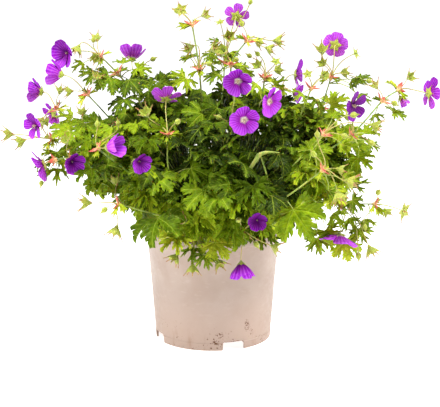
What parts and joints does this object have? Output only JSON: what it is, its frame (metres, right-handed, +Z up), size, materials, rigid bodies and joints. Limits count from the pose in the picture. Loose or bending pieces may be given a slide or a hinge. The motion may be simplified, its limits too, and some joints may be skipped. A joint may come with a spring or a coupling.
{
  "type": "potted hardy geranium",
  "caption": "Flowering hardy geranium, a mound of deeply cut leaves under branching stems with open purple blooms, rooted in compost in a round plastic nursery pot.",
  "frame": {"origin": "middle of the pot's flat foot, on the plane that it stands on", "axes": "+Z up along the pot's axis, +X along the plant's wide side, -Y towards the plant's front"},
  "size_m": [0.5836, 0.3666, 0.4669],
  "materials": {
    "pot_plastic": "satin taupe plastic",
    "compost": "crumbly dark potting compost",
    "stem_green": "fleshy green stem",
    "leaf_green": "soft matte leaf",
    "petal_purple": "thin velvety petal"
  },
  "bodies": {
    "root": {"pot": "pot_plastic", "compost": "compost", "stem_left_high": "stem_green", "stem_left": "stem_green", "stem_left_low": "stem_green", "stem_front_left": "stem_green", "stem_top_left": "stem_green", "stem_top": "stem_green", "stem_top_front": "stem_green", "stem_top_right": "stem_green", "stem_right_high": "stem_green", "stem_right": "stem_green", "stem_right_low": "stem_green", "stem_front_low": "stem_green", "stem_back_left": "stem_green", "stem_back": "stem_green", "stem_back_right": "stem_green", "leaf_tuft_1": "leaf_green", "leaf_tuft_2": "leaf_green", "leaf_tuft_3": "leaf_green", "leaf_tuft_4": "leaf_green", "leaf_tuft_5": "leaf_green", "leaf_tuft_6": "leaf_green", "leaf_tuft_7": "leaf_green", "leaf_tuft_8": "leaf_green", "bloom_01": "petal_purple", "bloom_02": "petal_purple", "bloom_03": "petal_purple", "bloom_04": "petal_purple", "bloom_05": "petal_purple", "bloom_06": "petal_purple", "bloom_07": "petal_purple", "bloom_08": "petal_purple", "bloom_09": "petal_purple", "bloom_10": "petal_purple", "bloom_11": "petal_purple", "bloom_12": "petal_purple", "bloom_13": "petal_purple", "bloom_14": "petal_purple", "bloom_15": "petal_purple", "bloom_16": "petal_purple", "bloom_17": "petal_purple", "bloom_18": "petal_purple", "bloom_19": "petal_purple", "bloom_20": "petal_purple", "bloom_21": "petal_purple", "bloom_22": "petal_purple", "bloom_23": "petal_purple", "bloom_24": "petal_purple", "bloom_25": "petal_purple", "bloom_26": "petal_purple", "bloom_27": "petal_purple", "bloom_28": "petal_purple", "bloom_29": "petal_purple", "bloom_30": "petal_purple"}
  },
  "joints": []
}
